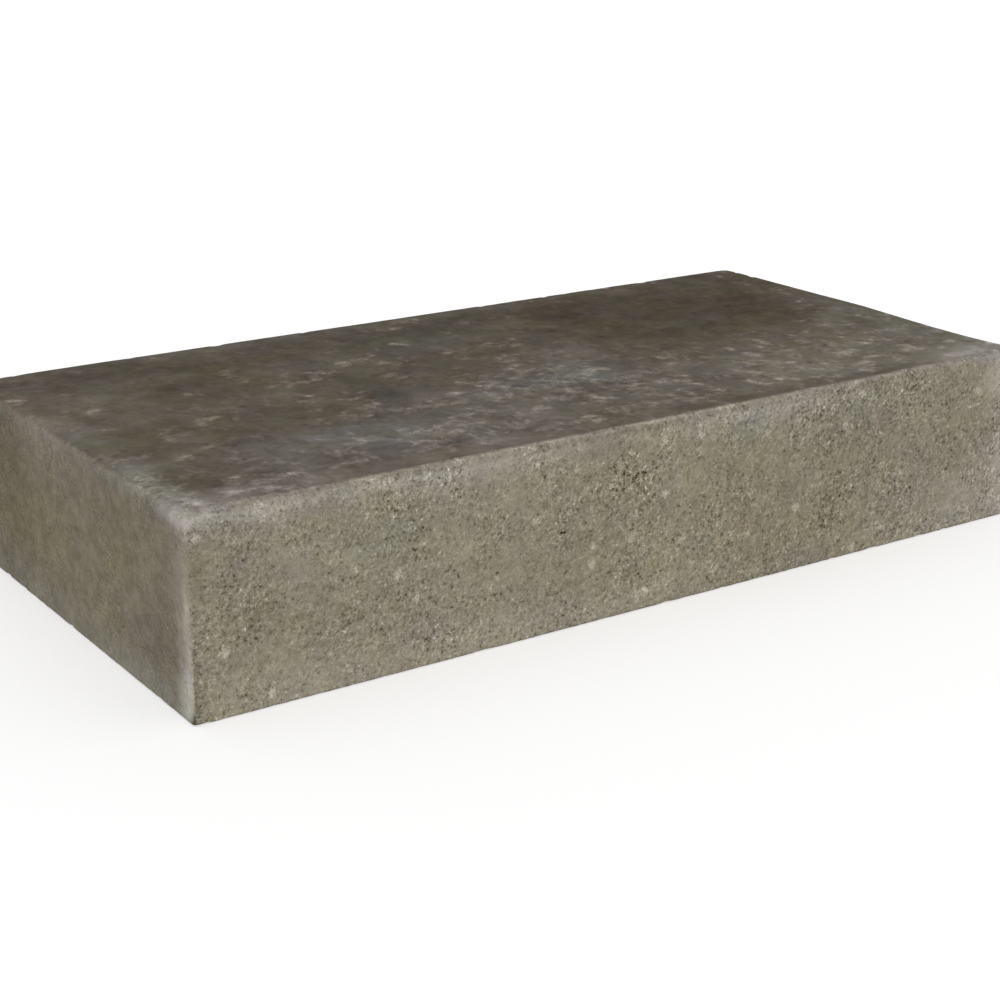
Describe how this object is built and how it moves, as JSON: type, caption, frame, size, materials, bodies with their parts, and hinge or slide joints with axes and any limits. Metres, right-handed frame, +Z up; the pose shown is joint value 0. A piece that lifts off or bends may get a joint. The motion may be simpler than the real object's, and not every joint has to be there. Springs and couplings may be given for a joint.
{
  "type": "concrete step block",
  "caption": "Solid cast concrete block laid as a garden step, with a smooth tread, a grainy riser and eased arrises.",
  "frame": {"origin": "centre of the bed, the face that the block lies on", "axes": "+X along the length, +Y from the riser to the back, +Z up to the tread; the riser faces -Y"},
  "size_m": [0.8, 0.4, 0.15],
  "materials": {
    "concrete": "dry cast concrete, matt, grainy on the riser and back, close and darker on the tread"
  },
  "bodies": {
    "root": {"step_block": "concrete"}
  },
  "joints": []
}
